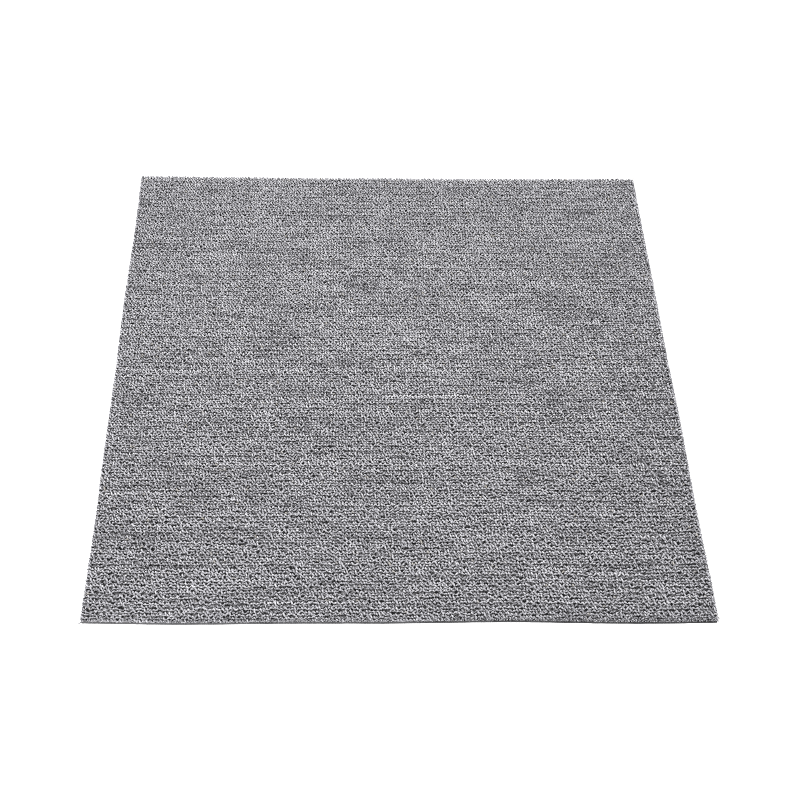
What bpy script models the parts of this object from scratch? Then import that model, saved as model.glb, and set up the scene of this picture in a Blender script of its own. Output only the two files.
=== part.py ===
# Carpet tile: a loop pile in straight tuft rows, bonded to a heavy dark backing, lying flat with its pile up.
# Metres, +Z up. The origin is the middle of the underside. The tuft rows run along X.

import bmesh
import bpy

# Driving dimensions
TILE_WIDTH = 0.500  # along the tuft rows
TILE_DEPTH = 0.500  # across the tuft rows
BACKING_THICKNESS = 0.0025
BOND_LINE = 0.0003  # latex between the backing and the pile, left open between the two solids
PILE_HEIGHT = 0.0037  # from the bond line to the tops of the loops
SHOULDER_RADIUS = 0.0012  # over which the outermost loops fall away at the cut edges
SHOULDER_STEPS = 4  # flat facets round that radius

# Colours, roughness and metallic value of the two finishes
PILE_FINISH = {"colour": (0.275, 0.272, 0.290, 1.0), "roughness": 0.95, "metallic": 0.0}
BACKING_FINISH = {"colour": (0.028, 0.027, 0.027, 1.0), "roughness": 0.75, "metallic": 0.0}


def clear_scene():
    """Removes whatever the scene holds."""
    for old in list(bpy.data.objects):
        bpy.data.objects.remove(old)


def make_material(name, finish):
    """A Principled material with one finish."""
    material = bpy.data.materials.new(name)
    material.use_nodes = True
    shader = material.node_tree.nodes["Principled BSDF"]
    shader.inputs["Base Color"].default_value = finish["colour"]
    shader.inputs["Roughness"].default_value = finish["roughness"]
    shader.inputs["Metallic"].default_value = finish["metallic"]
    material.diffuse_color = finish["colour"]
    return material


def slab(width, depth, thickness):
    """A bmesh slab, centred on the origin in plan, with its underside at zero."""
    shape = bmesh.new()
    bmesh.ops.create_cube(shape, size=1.0)
    bmesh.ops.scale(shape, vec=(width, depth, thickness), verts=shape.verts)
    bmesh.ops.translate(shape, vec=(0.0, 0.0, thickness / 2), verts=shape.verts)
    return shape


def round_top_edges(shape, radius, steps):
    """Rounds the four edges of the upper face and leaves the cut corners of the outline square."""
    top = max(vertex.co.z for vertex in shape.verts)
    edges = [edge for edge in shape.edges if all(vertex.co.z == top for vertex in edge.verts)]
    bmesh.ops.bevel(shape, geom=edges, offset=radius, segments=steps, profile=0.5, affect="EDGES")


def place(name, shape, height, material):
    """Turns a bmesh into a named object whose underside is at this height."""
    mesh = bpy.data.meshes.new(name)
    shape.to_mesh(mesh)
    shape.free()
    mesh.materials.append(material)
    piece = bpy.data.objects.new(name, mesh)
    piece.location.z = height
    bpy.context.scene.collection.objects.link(piece)
    return piece


def make_backing():
    """The heavy sheet that the tile rests on, cut square."""
    shape = slab(TILE_WIDTH, TILE_DEPTH, BACKING_THICKNESS)
    return place("backing", shape, 0.0, make_material("backing_compound", BACKING_FINISH))


def make_pile():
    """The layer of yarn loops as one solid, cut flush with the backing."""
    shape = slab(TILE_WIDTH, TILE_DEPTH, PILE_HEIGHT)
    round_top_edges(shape, SHOULDER_RADIUS, SHOULDER_STEPS)
    piece = place("pile", shape, BACKING_THICKNESS + BOND_LINE, make_material("loop_yarn", PILE_FINISH))
    piece.data.shade_smooth()
    piece.data.set_sharp_from_angle(angle=0.7)
    return piece


clear_scene()
make_backing()
make_pile()
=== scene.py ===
import math

import bpy
import numpy as np
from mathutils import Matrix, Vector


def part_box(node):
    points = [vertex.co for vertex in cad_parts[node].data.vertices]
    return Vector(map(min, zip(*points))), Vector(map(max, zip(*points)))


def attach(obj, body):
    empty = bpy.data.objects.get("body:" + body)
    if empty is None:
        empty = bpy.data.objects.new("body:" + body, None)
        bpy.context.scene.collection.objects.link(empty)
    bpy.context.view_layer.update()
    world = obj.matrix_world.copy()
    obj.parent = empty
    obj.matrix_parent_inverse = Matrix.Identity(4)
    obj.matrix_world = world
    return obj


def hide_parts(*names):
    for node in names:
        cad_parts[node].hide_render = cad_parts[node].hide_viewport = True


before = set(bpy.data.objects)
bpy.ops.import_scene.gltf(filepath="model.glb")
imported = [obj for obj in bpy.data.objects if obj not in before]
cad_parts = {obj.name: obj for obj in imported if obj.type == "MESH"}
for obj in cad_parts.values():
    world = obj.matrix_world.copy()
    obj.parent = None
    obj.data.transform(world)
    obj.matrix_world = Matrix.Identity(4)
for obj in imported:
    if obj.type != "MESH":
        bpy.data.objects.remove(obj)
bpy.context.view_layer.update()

mm = 0.001
fullTurn = 2 * math.pi
scene = bpy.context.scene


# a socket that can be added, multiplied and so on, with numbers or with other sockets
class Link:
    def __init__(self, tree, socket):
        self.tree = tree
        self.socket = socket

    def mathNode(self, operation, first, second):
        return self.tree.node("ShaderNodeMath", {"operation": operation}, {0: first, 1: second})

    def __add__(self, other):
        return self.mathNode("ADD", self, other)

    def __radd__(self, other):
        return self.mathNode("ADD", other, self)

    def __sub__(self, other):
        return self.mathNode("SUBTRACT", self, other)

    def __rsub__(self, other):
        return self.mathNode("SUBTRACT", other, self)

    def __mul__(self, other):
        return self.mathNode("MULTIPLY", self, other)

    def __rmul__(self, other):
        return self.mathNode("MULTIPLY", other, self)

    def __truediv__(self, other):
        return self.mathNode("DIVIDE", self, other)

    def __rtruediv__(self, other):
        return self.mathNode("DIVIDE", other, self)

    def __pow__(self, other):
        return self.mathNode("POWER", self, other)

    def __rpow__(self, other):
        return self.mathNode("POWER", other, self)

    def __abs__(self):
        return self.mathNode("ABSOLUTE", self, 0.0)


# the nodes of a material or of the world, all of them made by node()
class Tree:
    def __init__(self, owner):
        owner.use_nodes = True
        self.nodes = owner.node_tree.nodes
        self.links = owner.node_tree.links

    def node(self, kind, settings=None, sockets=None, out=0):
        made = self.nodes.new(kind)
        for key, value in (settings or {}).items():
            if key == "stops":
                self.setStops(made.color_ramp, value)
            else:
                setattr(made, key, value)
        for key, value in (sockets or {}).items():
            if isinstance(value, Link):
                self.links.new(value.socket, made.inputs[key])
            else:
                made.inputs[key].default_value = value
        return Link(self, made.outputs[out])

    def setStops(self, ramp, stops):
        while len(ramp.elements) < len(stops):
            ramp.elements.new(0.5)
        for element, (place, colour) in zip(ramp.elements, stops):
            element.position = place
            element.color = (*colour, 1.0)

    def split(self, vector, *axes):
        return [self.node("ShaderNodeSeparateXYZ", None, {0: vector}, out=axis) for axis in axes]


# one node material: constants are set on the shader, and feed() joins what varies to it
class Finish(Tree):
    def __init__(self, name, constants):
        self.material = bpy.data.materials.new(name)
        super().__init__(self.material)
        self.shader = self.nodes["Principled BSDF"]
        for socket, value in constants.items():
            self.shader.inputs[socket].default_value = value

    def feed(self, socket, link):
        self.links.new(link.socket, self.shader.inputs[socket])


def put(mesh, slotName, finish, *nodes):
    # makes the mesh a piece of the tile's one body
    mesh.materials.append(finish.material)
    piece = bpy.data.objects.new(mesh.name, mesh)
    scene.collection.objects.link(piece)
    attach(piece, "root")
    if nodes:
        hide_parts(*nodes)


# the cut outline: each edge wanders outward by slow waves, as size, waves along the edge and phase in turns
outline = {
    "front": [(0.52, 1.5, -0.14), (0.39, 2.75, -0.13)],
    "back": [(0.6, 1.0, 0.24), (0.28, 1.75, 0.4)],
    "left": [(0.24, 1.5, 0.32), (0.31, 3.0, 0.24)],
    "right": [(0.14, 2.5, 0.13), (0.25, 3.0, 0.18)],
    "cornerRadius": 1.3,
}

cadLow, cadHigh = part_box("pile")
halfX = cadHigh.x / mm
halfY = cadHigh.y / mm
clothLift = 0.15  # of the cloth's top over the foot of the pile's solid
clothTop = cadLow.z / mm + clothLift


def wander(side, place):
    # outward shift at a place from 0 to 1 along one edge
    return sum(size * np.sin(fullTurn * (waves * place + phase)) for size, waves, phase in outline[side])


def shapeOutline(points):
    # rounds the corners, and bends the square so that its outline follows the four cut edges
    x, y = points[..., 0], points[..., 1]
    radius = outline["cornerRadius"]
    overX, overY = np.abs(x) - (halfX - radius), np.abs(y) - (halfY - radius)
    reach = np.maximum(np.hypot(overX, overY), 1e-6)
    pull = np.where((overX > 0) & (overY > 0) & (reach > radius), radius / reach, 1.0)
    x = np.where(pull < 1, np.sign(x) * (halfX - radius + overX * pull), x)
    y = np.where(pull < 1, np.sign(y) * (halfY - radius + overY * pull), y)
    placeX, placeY = x / (2 * halfX) + 0.5, y / (2 * halfY) + 0.5
    shifted = points.copy()
    shifted[..., 0] = x + wander("right", placeY) * placeX - wander("left", placeY) * (1 - placeX)
    shifted[..., 1] = y + wander("back", placeX) * placeY - wander("front", placeX) * (1 - placeY)
    return shifted


spreadLimit = 2.2  # times its spread that a random number may lie out


def spread(rng, shape, size):
    return np.clip(rng.normal(size=shape), -spreadLimit, spreadLimit) * size


blendVariance = 0.743  # share of the knots' variance that is left after blending between them


def eased(share):
    return share * share * (3 - 2 * share)


def smoothNoise(rng, count, length, rows=1):
    # rows of random numbers that wander smoothly over this many places, each with a spread of 1
    knots = int(count / length) + 4
    values = rng.normal(size=(rows, knots))
    at = rng.random((rows, 1)) + np.arange(count)[None, :] / length
    low = at.astype(int)
    share = eased(at - low)
    before, after = np.take_along_axis(values, low, 1), np.take_along_axis(values, low + 1, 1)
    return (before * (1 - share) + after * share) / np.sqrt(blendVariance)


def patchNoise(rng, rows, loops, length):
    # the same over the whole field, in patches
    lines = smoothNoise(rng, loops, length, int(rows / length) + 3)
    at = np.arange(rows) / length + rng.random()
    low = at.astype(int)
    share = eased(at - low)[:, None]
    return (lines[low] * (1 - share) + lines[low + 1] * share) / np.sqrt(blendVariance)


offAxis = (0.37, 0.61, 0.7)  # a direction that hardly any path takes


def tubeAround(path, radius, corners=3):
    # rings of corners round each path. path: strand, ring, xyz. radius: strand, ring.
    ahead = np.gradient(path, axis=1)
    ahead /= np.linalg.norm(ahead, axis=2, keepdims=True)
    side = np.cross(ahead, offAxis)
    side /= np.linalg.norm(side, axis=2, keepdims=True)
    over = np.cross(ahead, side)
    turn = np.arange(corners) / corners * fullTurn
    ring = side[:, :, None] * np.cos(turn)[:, None] + over[:, :, None] * np.sin(turn)[:, None]
    return path[:, :, None] + ring * radius[:, :, None, None]


def tubeMesh(name, points, shades, columns=1, folds=1):
    # closed tubes. points: strand, ring, corner, xyz. shades: strand, ring, 3.
    strands, rings, corners, _ = points.shape
    index = np.arange(strands * rings * corners).reshape(strands, rings, corners)
    following = np.roll(index, -1, axis=2)
    quads = np.stack([index[:, :-1], following[:, :-1], following[:, 1:], index[:, 1:]], -1)
    caps = np.concatenate([index[:, 0, ::-1], index[:, -1]])
    sizes = np.concatenate([np.full(quads.size // 4, 4), np.full(len(caps), corners)])
    mesh = bpy.data.meshes.new(name)
    mesh.vertices.add(index.size)
    mesh.vertices.foreach_set("co", (points * mm).astype(np.float32).ravel())
    mesh.loops.add(int(sizes.sum()))
    mesh.loops.foreach_set("vertex_index", np.concatenate([quads.ravel(), caps.ravel()]).astype(np.int32))
    mesh.polygons.add(len(sizes))
    mesh.polygons.foreach_set("loop_start", np.concatenate([[0], np.cumsum(sizes)[:-1]]).astype(np.int32))
    mesh.update(calc_edges=True)
    mesh.polygons.foreach_set("use_smooth", np.ones(len(sizes), bool))
    perPoint = np.repeat(shades.reshape(-1, 3), corners, 0).astype(np.float32)
    mesh.attributes.new("yarnShade", "FLOAT_VECTOR", "POINT").data.foreach_set("vector", perPoint.ravel())
    addYarnMap(mesh, points)
    addBakeMap(mesh, strands, rings, corners, columns, folds)
    return mesh


strandStarts = 50  # mm of yarn over which the strands' starting points are spread


def addYarnMap(mesh, points):
    # runs along the yarn in millimetres, and once round it
    strands, rings, corners, _ = points.shape
    steps = np.linalg.norm(np.diff(points[:, :, 1], axis=1), axis=-1)
    start = np.random.default_rng(strands).random((strands, 1)) * strandStarts
    along = start + np.concatenate([np.zeros((strands, 1)), np.cumsum(steps, 1)], 1)
    u = np.broadcast_to(along[:, :, None], (strands, rings, corners))
    turn = np.broadcast_to(np.arange(corners) / corners, u.shape)
    turnNext = turn + 1 / corners
    quadU = np.stack([u[:, :-1], u[:, :-1], u[:, 1:], u[:, 1:]], -1)
    quadV = np.stack([turn[:, :-1], turnNext[:, :-1], turnNext[:, 1:], turn[:, 1:]], -1)
    capU = np.concatenate([u[:, 0, ::-1], u[:, -1]])
    capV = np.concatenate([turn[:, 0, ::-1], turn[:, -1]])
    flat = np.stack([np.append(quadU, capU), np.append(quadV, capV)], 1)
    mesh.uv_layers.new(name="yarn").uv.foreach_set("vector", flat.astype(np.float32).ravel())


# how a cell of the baking map is used, as shares of the cell
bakeCell = {"length": 0.992, "left": 0.004, "corners": (0.06, 0.97), "capWidth": 0.002, "cap": (0.1, 0.8)}


def addBakeMap(mesh, strands, rings, corners, columns, folds):
    # a cell for each fold of each strand, in this many columns
    segments = rings - 1
    perFold = math.ceil(segments / folds)
    lines = math.ceil(strands * folds / columns)
    share = np.linspace(*bakeCell["corners"], corners + 1)  # where the corners lie over a cell's height
    strand = np.arange(strands)[:, None, None]
    segment = np.arange(segments)[None, :, None]
    corner = np.arange(corners)[None, None, :]
    fold = segment // perFold
    cell = strand * folds + fold
    left = (segment - fold * perFold) / perFold * bakeCell["length"] + bakeCell["left"]
    shape = (strands, segments, corners)
    u0 = np.broadcast_to((cell % columns + left) / columns, shape)
    u1 = u0 + bakeCell["length"] / perFold / columns
    v0 = (cell // columns + share[corner]) / lines
    v1 = (cell // columns + share[corner + 1]) / lines
    quadU = np.stack([u0, u0, u1, u1], -1)
    quadV = np.stack([v0, v1, v1, v0], -1)
    # the end caps share their cell's left rim
    capU = np.arange(corners) % 2 * bakeCell["capWidth"]
    capV = np.linspace(*bakeCell["cap"], corners)
    first = np.arange(strands)[:, None] * folds
    ends = np.stack([(first % columns + capU) / columns, (first // columns + capV) / lines], -1)
    ends = ends.reshape(-1, 2)
    flat = np.concatenate([np.stack([quadU.ravel(), quadV.ravel()], 1), ends, ends])
    mesh.uv_layers.new(name="OFBake").uv.foreach_set("vector", flat.astype(np.float32).ravel())


yarn = {
    "plyTurn": 3.868,  # mm of yarn to one full turn of its two strands
    "dark": (0.085, 0.084, 0.092),
    "middle": (0.53, 0.526, 0.56),
    "light": (0.87, 0.865, 0.89),
    "warmFleck": (0.42, 0.38, 0.30),
    "strandBlend": 0.371,  # softness of the line between the two strands
    "fibreContrast": 0.755,
    "fibresAlong": 0.928,  # fibre marks to a millimetre
    "fibresAround": 9.719,  # and once round the yarn
    "fibreTwist": 1.779,
    "fibreShift": 40.0,  # of the fibre marks from loop to loop
    # painted shade: the yarn is darker in the crease between its two strands, and a little lighter on their
    # crowns
    "creasePaintedShade": 0.436,
    "creaseMiddle": 0.75,
    "creasePower": 0.5,
    "fleck": (0.9, 1.5, 0.6),  # warmth at which flecks start and are full, and their strongest share
    "relief": 0.385,
    "reliefDepth": 0.0003,  # metres
    "creaseRelief": 0.7,
    "fibreRelief": 0.6,
}


def makeYarnFinish():
    soft = {"Roughness": 0.75, "Specular IOR Level": 0.35, "Sheen Weight": 0.1, "Sheen Roughness": 0.5}
    finish = Finish("heatherYarn", soft)
    shades = finish.node("ShaderNodeAttribute", {"attribute_name": "yarnShade"}, out="Vector")
    strandA, strandB, warm = finish.split(shades, 0, 1, 2)
    place = finish.node("ShaderNodeUVMap", {"uv_map": "yarn"})
    u, v = finish.split(place, 0, 1)
    wave = finish.node("ShaderNodeMath", {"operation": "SINE"}, {0: (v - u / yarn["plyTurn"]) * fullTurn})
    blend = yarn["strandBlend"]
    smooth = {"interpolation_type": "SMOOTHSTEP"}
    mask = finish.node("ShaderNodeMapRange", smooth, {0: wave, 1: -blend, 2: blend})
    twisted = v * yarn["fibresAround"] + u * yarn["fibreTwist"]
    marks = {0: u * yarn["fibresAlong"], 1: twisted, 2: strandA * yarn["fibreShift"]}
    fibreAt = finish.node("ShaderNodeCombineXYZ", None, marks)
    grain = {"Vector": fibreAt, "Scale": 1.0, "Detail": 2.0, "Roughness": 0.6}
    fibreMarks = finish.node("ShaderNodeTexNoise", None, grain)
    crease = abs(wave) ** yarn["creasePower"]
    lightness = strandA * mask + strandB * (1 - mask) + (fibreMarks - 0.5) * yarn["fibreContrast"]
    # painted shade in the crease between the two strands, and a little painted light on their crowns
    lightness = lightness + (crease - yarn["creaseMiddle"]) * yarn["creasePaintedShade"]
    stops = [(0.0, yarn["dark"]), (0.5, yarn["middle"]), (1.0, yarn["light"])]
    grey = finish.node("ShaderNodeValToRGB", {"stops": stops}, {0: lightness})
    start, full, most = yarn["fleck"]
    fleck = finish.node("ShaderNodeMapRange", None, {0: warm, 1: start, 2: full, 3: 0.0, 4: most})
    blended = {0: fleck, 6: grey, 7: (*yarn["warmFleck"], 1.0)}
    finish.feed("Base Color", finish.node("ShaderNodeMix", {"data_type": "RGBA"}, blended, out=2))
    height = crease * yarn["creaseRelief"] + fibreMarks * yarn["fibreRelief"]
    relief = {"Strength": yarn["relief"], "Distance": yarn["reliefDepth"], "Height": height}
    finish.feed("Normal", finish.node("ShaderNodeBump", None, relief))
    return finish


yarnFinish = makeYarnFinish()


pile = {
    "rows": 197,  # at a gauge of 2.54 mm
    "loops": 187,  # at a stitch of 2.67 mm
    "bands": 5,  # meshes that the rows are shared between
    "height": 3.25,  # of a loop's top over the cloth
    "heightSpread": 0.29,
    "sideHeight": 0.575,  # of a loop's two sides, as a share of its top
    "everySecondRowLower": 0.35,
    "everySecondRowShift": 0.209,  # of a stitch
    "placeSpread": (0.62, 0.49, 0.58),  # along the row, at the front, the middle and the back
    "endClear": 0.9,  # of a row's first and last loops from its ends
    "sideSpread": (0.506, 0.174),  # across the row, at the front and the back
    "outerSideSpread": 0.4,  # share of that in the front and back rows
    "rowWander": (22, 0.1),  # how many loops long, and how far
    "slant": 0.45,  # each loop lies a little across its row
    "slantSpread": 0.56,
    "outerSlant": 0.6,  # share of both in the front and back rows
    "halfWidth": 0.924,
    "halfLength": 0.669,
    "shoulderDrop": (0.308, 0.1),  # of a loop's two shoulders under its top, and its spread
    "shoulderNarrower": (0.12, 0.08),  # and its spread
    "dip": (0.928, 0.15),  # height of the yarn between two loops, and its spread
    "dipSide": -0.1,
    "dipHalfWidth": 0.7,
    "endRough": 0.12,  # unevenness of the rows' cut ends
    "endHeight": (2.7, 0.3),  # and its spread
    "edgeInset": 0.75,  # of the front and back rows' middles from the cut edge
    "leanFront": (0.25, -1.0),  # of the front row, out over the cut edge, at its left and right ends
    "leanBack": (0.15, 0.15),
    "leanWander": (60, 0.08),  # how many rings long, and how far
    "leanAtTop": 0.6,  # share of the lean that the tops take
    "outerSideLower": 0.5,
    "frontRowWider": 1.25,
    "outerSideIn": (0.58, 0.35),  # of the front and back rows' outer sides
    "seed": 41,
}
shading = {
    "strands": (0.16, -0.16),  # the two strands of the yarn, lighter and darker than the middle
    "loop": 0.154,
    "contrast": (0.7, 1.13, 0.95),  # of those two, at the front, the middle and the back
    "row": 0.03,
    "everySecondRow": -0.12,
    "streaks": ((14, 0.05), (5, 0.047)),  # how many loops long, and how strong
    "patch": (11, 0.02),
    "warm": 0.5,
    # painted shade: the loops darker towards the left and right edges, and the rows darker towards the
    # front
    "sides": -0.05,  # towards the left and right edges
    "rows": (-0.035, 0.005, 0.0),  # at the front, the middle and the back
    # painted shade on the outermost rows, where the loops bend over the cut edge
    "backRowPaintedShade": -0.2,  # the last row
    "frontRowPaintedShade": (-0.24, -0.2),  # the first row, at its left and right ends
    "paleStretch": {"row": 87, "from": -9.0, "to": 70.0, "lighter": 0.5},
}


def fromFront(values):
    # a value for each row, given at the front, the middle and the back
    return np.interp(np.linspace(0, 1, pile["rows"]), (0, 0.5, 1), values)


def layRows():
    # the middle, top and slant of every loop
    rng = np.random.default_rng(pile["seed"])
    rows, loops = pile["rows"], pile["loops"]
    stitch = 2 * halfX / loops
    second = (np.arange(rows) % 2)[:, None]
    middleX = -halfX + (np.arange(loops)[None, :] + 0.5) * stitch
    middleX = middleX + (second - 0.5) * pile["everySecondRowShift"] * stitch
    middleX = middleX + spread(rng, (rows, loops), 1.0) * fromFront(pile["placeSpread"])[:, None]
    middleX = np.clip(middleX, -halfX + pile["endClear"], halfX - pile["endClear"])
    sideSpread = np.linspace(*pile["sideSpread"], rows)[:, None]
    sideSpread[[0, -1]] *= pile["outerSideSpread"]
    middleY = np.linspace(-1, 1, rows)[:, None] * (halfY - pile["edgeInset"])
    length, size = pile["rowWander"]
    middleY = middleY + smoothNoise(rng, loops, length, rows) * size
    middleY = middleY + spread(rng, (rows, loops), 1.0) * sideSpread
    top = pile["height"] + spread(rng, (rows, loops), pile["heightSpread"])
    top = top - second * pile["everySecondRowLower"]
    slant = pile["slant"] + spread(rng, (rows, loops), pile["slantSpread"])
    slant[[0, -1]] *= pile["outerSlant"]
    return rng, middleX, middleY, top, slant


def ringTable():
    # four rings to a loop: the valley before it, its two shoulders and its top between them
    rng, middleX, middleY, top, slant = layRows()
    rows, loops = middleX.shape
    rings = 4 * loops + 1
    centre = np.zeros((rows, rings, 2))
    apex, side, half = np.zeros((rows, rings)), np.zeros((rows, rings)), np.zeros((rows, rings))
    reach = pile["halfLength"]
    drop, dropSpread = pile["shoulderDrop"]
    narrower, narrowerSpread = pile["shoulderNarrower"]
    dip, dipSpread = pile["dip"]
    endHeight, endHeightSpread = pile["endHeight"]
    for step, along in ((1, -reach), (2, 0.0), (3, reach)):
        shoulder = along != 0
        centre[:, step::4, 0] = middleX + along
        centre[:, step::4, 1] = middleY - slant * along / reach
        apex[:, step::4] = top - shoulder * (drop + spread(rng, (rows, loops), dropSpread))
        side[:, step::4] = top * pile["sideHeight"]
        narrowing = narrower + spread(rng, (rows, loops), narrowerSpread)
        half[:, step::4] = pile["halfWidth"] - shoulder * narrowing
    inner = slice(4, rings - 1, 4)
    centre[:, inner] = (centre[:, 3:-4:4] + centre[:, 5::4]) / 2
    apex[:, ::4] = dip + spread(rng, (rows, loops + 1), dipSpread)
    side[:, ::4] = pile["dipSide"]
    half[:, ::4] = pile["dipHalfWidth"]
    for end, nextRing, outward in ((0, 1, -1), (-1, -2, 1)):
        centre[:, end, 0] = outward * halfX + spread(rng, rows, pile["endRough"])
        centre[:, end, 1] = centre[:, nextRing, 1]
        apex[:, end] = endHeight + spread(rng, rows, endHeightSpread)
    return rng, centre, apex, side, half


def yarnShades(rng, centre):
    # lightness of the yarn's two strands and warmth of each loop, spread to its rings
    rows, rings = centre.shape[:2]
    loops = (rings - 1) // 4
    second = (np.arange(rows) % 2)[:, None]
    tone = spread(rng, (rows, 1), shading["row"]) + (second - 0.5) * shading["everySecondRow"]
    for length, strength in shading["streaks"]:
        tone = tone + smoothNoise(rng, loops, length, rows) * strength
    length, strength = shading["patch"]
    tone = tone + patchNoise(rng, rows, loops, length) * strength
    across = centre[:, 2::4, 0] / halfX
    # painted shade: darker towards the left and right edges and towards the front
    tone = tone + shading["sides"] * across ** 2 + fromFront(shading["rows"])[:, None]
    # painted shade: the first and last rows darker
    tone[-1] += shading["backRowPaintedShade"]
    tone[0] += np.interp(across[0], (-1, 1), shading["frontRowPaintedShade"])
    pale = shading["paleStretch"]
    loopX = centre[pale["row"], 2::4, 0]
    tone[pale["row"], (loopX > pale["from"]) & (loopX < pale["to"])] += pale["lighter"]
    contrast = fromFront(shading["contrast"])[:, None]
    values = []
    for base in shading["strands"]:
        values.append(0.5 + tone + contrast * (base + rng.normal(size=(rows, loops)) * shading["loop"]))
    values.append(rng.normal(size=(rows, loops)) * shading["warm"])
    shades = np.zeros((rows, rings, 3))
    for channel, value in enumerate(values):
        for step in (1, 2, 3):
            shades[:, step::4, channel] = value
        shades[:, 4:-1:4, channel] = (value[:, :-1] + value[:, 1:]) / 2
        shades[:, 0, channel], shades[:, -1, channel] = value[:, 0], value[:, -1]
    return shades


def makePile():
    rng, centre, apex, side, half = ringTable()
    rows, rings = apex.shape
    ahead = np.zeros_like(centre)
    ahead[:, 1:-1] = centre[:, 2:] - centre[:, :-2]
    ahead[:, ::4] = (1.0, 0.0)
    ahead /= np.linalg.norm(ahead, axis=2, keepdims=True)
    half[0] *= pile["frontRowWider"]
    across = np.stack([-ahead[:, :, 1], ahead[:, :, 0]], -1) * half[:, :, None]
    points = np.zeros((rows, rings, 3, 3))
    points[:, :, 0, :2] = centre + across
    points[:, :, 1, :2] = centre
    points[:, :, 2, :2] = centre - across
    points[:, :, 1, 2] = clothTop + apex
    points[:, :, 0, 2] = points[:, :, 2, 2] = clothTop + side
    # the outermost rows lean out over the cut edge, and their outer sides come down over it
    frontIn, backIn = pile["outerSideIn"]
    length, size = pile["leanWander"]
    for row, outer, outward, ends, inward in (
        (0, 2, -1, pile["leanFront"], frontIn),
        (-1, 0, 1, pile["leanBack"], backIn),
    ):
        lean = np.linspace(*ends, rings) + smoothNoise(rng, rings, length)[0] * size
        points[row, :, 1, 1] += outward * lean * pile["leanAtTop"]
        points[row, :, outer, 1] += outward * (lean - inward)
        points[row, :, outer, 2] = clothTop + side[row] * pile["outerSideLower"]
    points = shapeOutline(points)
    shades = yarnShades(rng, centre)
    cuts = np.linspace(0, rows, pile["bands"] + 1).astype(int)
    for number, (start, stop) in enumerate(zip(cuts[:-1], cuts[1:]), 1):
        mesh = tubeMesh(f"loopRows{number}", points[start:stop], shades[start:stop], folds=2)
        put(mesh, "pile", yarnFinish, "pile")
    print("pile:", rows, "rows of", pile["loops"], "loops")


makePile()


# short ends of cut yarn that stand out along the four edges, two strands to an end
cutEnds = {
    "radius": (0.42, 0.38, 0.26),  # at the foot, the middle and the tip
    "radiusSpread": 0.1,
    "bend": ((0.0, 0.0), (0.65, 0.5), (1.0, 1.0)),  # how far out and how far up each of those three is
    "apart": (0.35, 0.15),  # half the way between the feet of the two strands, and its spread
    "inset": 0.55,  # of the foot from the edge
    "out": (0.05, 0.12),  # of the tip past the edge, and its spread
    "footHeight": 0.1,
    "tipHeight": (2.3, 0.5),
    "splay": (0.45, 0.35),
    "shade": (0.44, 0.2),
    "warm": 0.5,
    # painted shadow under the front edge of the pile: the front cut ends darker, most at the right and at
    # their feet
    "frontFeet": (0.0, -0.1, -0.4),  # shade of those in front, at the left, the middle and the right
    "frontFeetStrands": (1.0, 0.6, 0.0),  # share of it at the foot, the middle and the tip
    "seed": 7,
}


edgeDirections = {"left": (-1, 0), "right": (1, 0), "front": (0, -1), "back": (0, 1)}


def edgePlaces(perSide):
    # for each edge: its outward direction, its own direction, even places along it and its distance
    for side, (dx, dy) in edgeDirections.items():
        count = perSide[side]
        half, reach = (halfY, halfX) if dx else (halfX, halfY)
        place = -half + (np.arange(count) + 0.5) * 2 * half / count
        yield np.array([dx, dy, 0.0]), np.array([abs(dy), abs(dx), 0.0]), place, reach


def makeCutEnds():
    rng = np.random.default_rng(cutEnds["seed"])
    perSide = {"left": pile["rows"], "right": pile["rows"], "front": pile["loops"], "back": pile["loops"]}
    paths, feet = [], []
    for outward, tangent, place, reach in edgePlaces(perSide):
        inFront = outward[1] < 0
        for strand in (-1, 1):
            feet.append(np.interp(place, (-halfX, 0, halfX), cutEnds["frontFeet"]) * inFront)
            count = len(place)
            foot = place + strand * cutEnds["apart"][0] + spread(rng, count, cutEnds["apart"][1])
            tip = foot + strand * cutEnds["splay"][0] + spread(rng, count, cutEnds["splay"][1])
            out = cutEnds["out"][0] + spread(rng, count, cutEnds["out"][1])
            height = cutEnds["tipHeight"][0] + spread(rng, count, cutEnds["tipHeight"][1])
            rings = []
            for share, rise in cutEnds["bend"]:
                along = foot + (tip - foot) * rise
                off = reach - cutEnds["inset"] + (out + cutEnds["inset"]) * share
                ring = along[:, None] * tangent + off[:, None] * outward
                ring[:, 2] = clothTop + cutEnds["footHeight"] + height * rise
                rings.append(ring)
            paths.append(np.stack(rings, 1))
    path = np.concatenate(paths)
    thicker = 1 + spread(rng, (len(path), 1), cutEnds["radiusSpread"])
    radius = np.broadcast_to(cutEnds["radius"], path.shape[:2]) * thicker
    points = shapeOutline(tubeAround(path, radius))
    shade, shadeSpread = cutEnds["shade"]
    shades = np.repeat(shade + spread(rng, (len(path), 1, 3), shadeSpread), path.shape[1], 1)
    # painted shadow on the front cut ends, darkest at the right and at their feet
    shades[:, :, :2] += np.concatenate(feet)[:, None, None] * np.array(cutEnds["frontFeetStrands"])[:, None]
    shades[:, :, 2] = spread(rng, (len(path), 1), cutEnds["warm"])
    put(tubeMesh("cutYarnEnds", points, shades, columns=20), "pile", yarnFinish)
    print("cut yarn ends:", len(path))


makeCutEnds()


# fine loose fibres, along the cut edges and over the top
fibres = {
    "perEdge": 420,
    "onTop": 900,
    "length": (0.5, 1.7),
    "radius": (0.06, 0.05, 0.04, 0.025),
    "curl": 0.35,
    "alongSpread": 0.8,
    "cornerClear": 0.5,
    "edgeInset": 0.1,
    "edgeHeights": (0.3, 3.1),  # over the cloth
    "edgeRun": (0.7, 0.4),  # spread of their direction, along the edge and up
    "topInset": 1.0,
    "topSunk": 0.25,  # of their roots under the loops' tops
    "topRise": (0.3, 0.1),  # spread and least
    "lowest": 0.1,
    "shade": (0.6, 0.15),  # and its spread
    "seed": 19,
}
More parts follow.
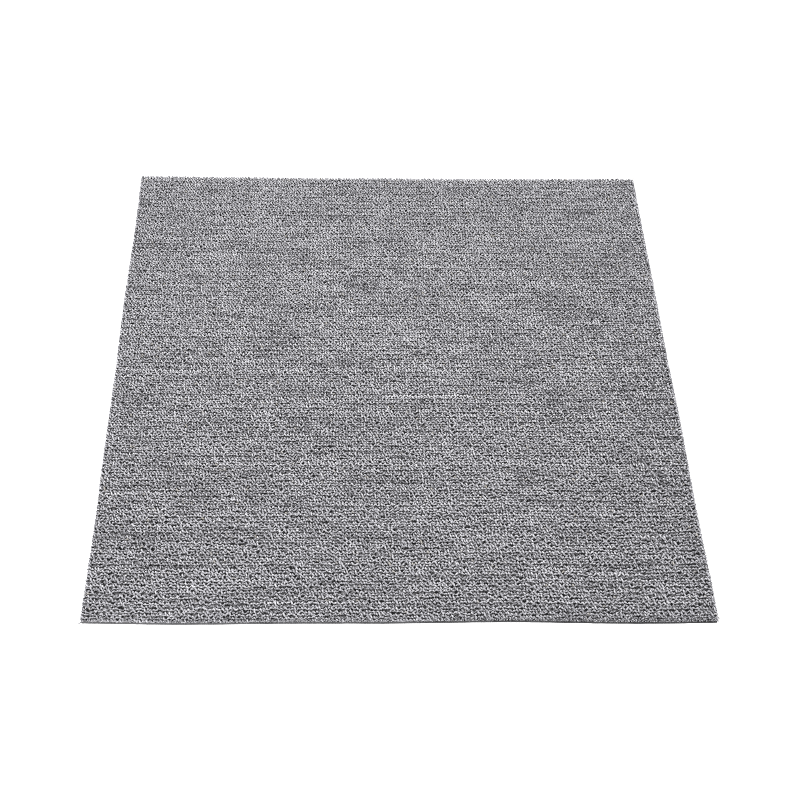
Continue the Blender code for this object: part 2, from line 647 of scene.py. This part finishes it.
# longer strands that hang out past the edges: place from the tile's middle, run, and shade
strayStrands = {
    "frontRight": ((249.4, -246.5, 4.2), (2.8, -1.2, -1.4), 0.62),
    "frontRightLow": ((249.4, -248.6, 3.2), (2.4, -1.0, -1.6), 0.5),
    "backRight": ((249.3, 249.0, 5.6), (1.2, 1.8, 0.5), 0.6),
    "frontLeft": ((-249.2, -249.3, 3.4), (-3.2, -0.5, -2.4), 0.12),
    "backLeft": ((-198.5, 249.6, 5.4), (1.5, 1.7, 0.4), 0.6),
}
stray = {"rings": 8, "corners": 6, "curl": 0.2, "radius": (0.5, 0.35), "warmer": 2.2}


def curlyPaths(rng, start, run, rings, curl):
    # paths that set off along `run` and bend to one side
    length = np.linalg.norm(run, axis=1, keepdims=True)
    bend = np.cross(run, rng.normal(size=run.shape))
    bend *= curl * length / np.maximum(np.linalg.norm(bend, axis=1, keepdims=True), 1e-6)
    share = np.linspace(0, 1, rings)[None, :, None]
    return start[:, None] + run[:, None] * share + bend[:, None] * share ** 2


def makeFibres():
    rng = np.random.default_rng(fibres["seed"])
    starts, runs = [], []
    acrossSpread, riseSpread = fibres["edgeRun"]
    for outward, tangent, place, reach in edgePlaces(dict.fromkeys(edgeDirections, fibres["perEdge"])):
        count = len(place)
        along = place + spread(rng, count, fibres["alongSpread"])
        furthest = reach - fibres["cornerClear"]
        off = (reach - fibres["edgeInset"]) * outward
        start = np.clip(along, -furthest, furthest)[:, None] * tangent + off
        start[:, 2] = clothTop + rng.uniform(*fibres["edgeHeights"], count)
        run = outward + tangent * spread(rng, (count, 1), acrossSpread)
        run[:, 2] = spread(rng, count, riseSpread)
        starts.append(start)
        runs.append(run)
    count = fibres["onTop"]
    inset = fibres["topInset"]
    upSpread, leastUp = fibres["topRise"]
    start = rng.uniform(-1, 1, (count, 3)) * (halfX - inset, halfY - inset, 0)
    start[:, 2] = clothTop + pile["height"] - fibres["topSunk"]
    run = rng.normal(size=(count, 3)) * (1, 1, upSpread)
    run[:, 2] = np.abs(run[:, 2]) + leastUp
    start, run = np.concatenate(starts + [start]), np.concatenate(runs + [run])
    run *= rng.uniform(*fibres["length"], (len(run), 1)) / np.linalg.norm(run, axis=1, keepdims=True)
    path = curlyPaths(rng, start, run, len(fibres["radius"]), fibres["curl"])
    path[:, :, 2] = np.maximum(path[:, :, 2], fibres["lowest"])
    radius = np.broadcast_to(fibres["radius"], path.shape[:2])
    shade, shadeSpread = fibres["shade"]
    shades = np.full((*path.shape[:2], 3), shade) + spread(rng, (len(path), 1, 3), shadeSpread)
    points = shapeOutline(tubeAround(path, radius))
    put(tubeMesh("looseFibres", points, shades, columns=50), "pile", yarnFinish)

    start, run, shade = (np.array(column) for column in zip(*strayStrands.values()))
    path = curlyPaths(rng, start, run, stray["rings"], stray["curl"])
    radius = np.broadcast_to(np.linspace(*stray["radius"], stray["rings"]), path.shape[:2])
    shades = np.zeros((*path.shape[:2], 3)) + shade[:, None, None]
    shades[:, :, 2] *= stray["warmer"]
    points = tubeAround(path, radius, stray["corners"])
    put(tubeMesh("strayStrands", points, shades, columns=2), "pile", yarnFinish)
    print("loose fibres:", len(starts[0]) * 4 + count, "and stray strands:", len(strayStrands))


makeFibres()


# sheets with the tile's own outline: rings of points from the bottom to the top
pointsPerSide = 110


def ringOutline(inset):
    # points closer together towards the corners
    step = np.cos(np.arange(pointsPerSide) / pointsPerSide * math.pi)
    a, b = halfX - inset, halfY - inset
    one = np.ones(pointsPerSide)
    x = np.concatenate([-a * step, a * one, a * step, -a * one])
    y = np.concatenate([-b * one, -b * step, b * one, b * step])
    return np.stack([x, y, np.zeros(len(x))], 1)


def sheetMesh(name, levels, rough, rng):
    # levels: height and inset of each ring
    rings = []
    for height, inset in levels:
        ring = ringOutline(inset)
        ring[:, :2] *= 1 + spread(rng, (len(ring), 1), rough) / halfX
        ring = shapeOutline(ring)
        ring[:, 2] = height
        rings.append(ring)
    count = len(rings[0])
    vertices = np.concatenate(rings) * mm
    index = np.arange(count)
    faces = [tuple(index[::-1]), tuple(index + count * (len(levels) - 1))]
    for level in range(len(levels) - 1):
        for near, far in zip(index + level * count, np.roll(index, -1) + level * count):
            faces.append((near, far, far + count, near + count))
    mesh = bpy.data.meshes.new(name)
    mesh.from_pydata(vertices.tolist(), [], [tuple(int(v) for v in face) for face in faces])
    mesh.update()
    return mesh


cloth = {
    "thickness": 0.5,
    "inset": 0.35,
    "rough": 0.05,
    "tufts": 500.0,  # yarn feet and threads to a metre
    "stops": (0.431, 0.513, 0.7),  # where the noise gives each of these three
    # the deep tone is painted shade between the rows; the middle and pale tones are the cloth and the feet
    # of the yarn
    "deep": (0.008, 0.008, 0.009),
    "middle": (0.09, 0.088, 0.092),
    "pale": (0.3, 0.297, 0.306),
    "relief": (0.5, 0.0003),  # strength, and depth in metres
    "seed": 3,
}


def makeCloth():
    # the woven cloth that the loops are stitched through, crossed by the feet of the yarn; its near-black
    # tone is painted shade deep between the rows
    levels = [(clothTop - cloth["thickness"], cloth["inset"]), (clothTop, cloth["inset"])]
    mesh = sheetMesh("stitchedCloth", levels, cloth["rough"], np.random.default_rng(cloth["seed"]))
    finish = Finish("wovenCloth", {"Roughness": 0.9})
    place = finish.node("ShaderNodeTexCoord", out="Object")
    tufts = {"Vector": place, "Scale": cloth["tufts"], "Detail": 1.0}
    weave = finish.node("ShaderNodeTexNoise", None, tufts)
    stops = list(zip(cloth["stops"], (cloth["deep"], cloth["middle"], cloth["pale"])))
    finish.feed("Base Color", finish.node("ShaderNodeValToRGB", {"stops": stops}, {0: weave}))
    strength, depth = cloth["relief"]
    relief = {"Strength": strength, "Distance": depth, "Height": weave}
    finish.feed("Normal", finish.node("ShaderNodeBump", None, relief))
    put(mesh, "pile", finish)
    print("cloth laid")


makeCloth()


backing = {
    "fleece": 0.55,  # thickness of the felt underside
    "underRim": ((0.0, 0.18), (0.12, 0.03)),  # height and inset of the rings of the lower rim
    "seam": 0.06,  # depth of the line between felt and compound
    "seamReach": (0.06, 0.08),  # how far the seam's slopes reach down and up
    "compoundRings": (0.35, 0.65, 0.9),  # where they lie over the compound's height
    "compoundInset": 0.02,
    "topInset": 0.1,
    "rough": 0.05,
    "feltDark": (0.03, 0.03, 0.032),
    "feltPale": (0.14, 0.14, 0.143),
    "compoundDark": (0.022, 0.022, 0.024),
    "compoundPale": (0.095, 0.095, 0.1),
    "stops": (0.35, 0.65),  # where the mottle gives the dark tones and the pale ones
    "hairs": (900.0, 0.6),  # to a metre, and share of the mottle
    "clumps": (60.0, 0.4),
    "blend": 0.03,  # half the height over which felt turns into compound
    "relief": (0.6, 0.0004),  # strength, and depth in metres
    # painted shade: the backing darker towards the right
    "paintedShadeToTheRight": 0.7,
    "seed": 5,
}


def makeBacking():
    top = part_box("backing")[1].z / mm
    felt = backing["fleece"]
    below, above = backing["seamReach"]
    levels = [*backing["underRim"], (felt - below, 0.0), (felt, backing["seam"]), (felt + above, 0.0)]
    for share in backing["compoundRings"]:
        levels.append((felt + (top - felt) * share, backing["compoundInset"]))
    levels.append((top, backing["topInset"]))
    mesh = sheetMesh("backingSheet", levels, backing["rough"], np.random.default_rng(backing["seed"]))
    finish = Finish("feltAndCompound", {"Roughness": 0.8, "Specular IOR Level": 0.3})
    place = finish.node("ShaderNodeTexCoord", out="Object")
    across, height = finish.split(place, 0, 2)
    seamRange = {0: height, 1: (felt - backing["blend"]) * mm, 2: (felt + backing["blend"]) * mm}
    isCompound = finish.node("ShaderNodeMapRange", None, seamRange)
    hairScale, hairShare = backing["hairs"]
    clumpScale, clumpShare = backing["clumps"]
    fine = {"Vector": place, "Scale": hairScale, "Detail": 3.0, "Roughness": 0.7}
    hairs = finish.node("ShaderNodeTexNoise", None, fine)
    clumps = finish.node("ShaderNodeTexNoise", None, {"Vector": place, "Scale": clumpScale, "Detail": 3.0})
    mottle = hairs * hairShare + clumps * clumpShare
    # painted shade, darker towards the right
    tone = mottle - across * backing["paintedShadeToTheRight"]
    feltStops = list(zip(backing["stops"], (backing["feltDark"], backing["feltPale"])))
    compoundStops = list(zip(backing["stops"], (backing["compoundDark"], backing["compoundPale"])))
    feltTone = finish.node("ShaderNodeValToRGB", {"stops": feltStops}, {0: tone})
    compoundTone = finish.node("ShaderNodeValToRGB", {"stops": compoundStops}, {0: tone})
    blended = {0: isCompound, 6: feltTone, 7: compoundTone}
    finish.feed("Base Color", finish.node("ShaderNodeMix", {"data_type": "RGBA"}, blended, out=2))
    strength, depth = backing["relief"]
    relief = {"Strength": strength, "Distance": depth, "Height": mottle}
    finish.feed("Normal", finish.node("ShaderNodeBump", None, relief))
    put(mesh, "backing", finish, "backing")
    print("backing finished")


makeBacking()


# a plain pale floor, one soft lamp, a sky that darkens upwards and the camera
studio = {
    "floorSize": 200.0,  # metres
    "floorColour": (0.9, 0.9, 0.9),
    "floorGlow": 0.7,
    "skyLow": 1.0,  # white up to the height at which the sky starts to darken
    "skyTurn": 0.36,  # that height, as the sine of its angle
    "skyHigh": 0.42,  # straight up
    "lampPlace": (-0.8, -0.8, 1.6),  # metres
    "lampSize": 1.362,
    "lampPower": 31.7,
}
view = {
    "place": (-0.04687, -0.7235, 0.9144),  # metres
    "turn": (37.214, -1.2285, -0.801),  # degrees
    "lens": 58.124,
    "shift": 0.03125,  # the photograph isn't centred on the lens
    "filterWidth": 0.944,  # pixels
}


def makeStudio():
    half = studio["floorSize"] / 2
    mesh = bpy.data.meshes.new("floor")
    corners = [(-half, -half, 0), (half, -half, 0), (half, half, 0), (-half, half, 0)]
    mesh.from_pydata(corners, [], [(0, 1, 2, 3)])
    white = (1.0, 1.0, 1.0, 1.0)
    constants = {"Roughness": 0.9, "Base Color": (*studio["floorColour"], 1.0), "Emission Color": white}
    finish = Finish("paleFloor", {**constants, "Emission Strength": studio["floorGlow"]})
    mesh.materials.append(finish.material)
    floor = bpy.data.objects.new("floor", mesh)
    scene.collection.objects.link(floor)

    world = bpy.data.worlds.new("studio")
    sky = Tree(world)
    background = sky.nodes["Background"]
    background.inputs["Color"].default_value = white
    (rise,) = sky.split(sky.node("ShaderNodeTexCoord", out="Generated"), 2)
    fading = {0: rise, 1: studio["skyTurn"], 2: 1.0, 3: studio["skyLow"], 4: studio["skyHigh"]}
    sky.links.new(sky.node("ShaderNodeMapRange", None, fading).socket, background.inputs["Strength"])
    scene.world = world

    lamp = bpy.data.lights.new("softbox", "AREA")
    lamp.shape = "SQUARE"
    lamp.size = studio["lampSize"]
    lamp.energy = studio["lampPower"]
    softbox = bpy.data.objects.new("softbox", lamp)
    softbox.location = studio["lampPlace"]
    softbox.rotation_euler = (-softbox.location).to_track_quat("-Z", "Y").to_euler()
    scene.collection.objects.link(softbox)

    eye = bpy.data.cameras.new("camera")
    eye.sensor_width = 36.0
    eye.lens = view["lens"]
    eye.shift_x = view["shift"]
    camera = bpy.data.objects.new("camera", eye)
    camera.location = view["place"]
    camera.rotation_euler = [math.radians(angle) for angle in view["turn"]]
    scene.collection.objects.link(camera)
    scene.camera = camera
    scene.view_settings.view_transform = "Standard"
    scene.cycles.use_denoising = False
    scene.cycles.filter_width = view["filterWidth"]
    print("studio lit")


makeStudio()
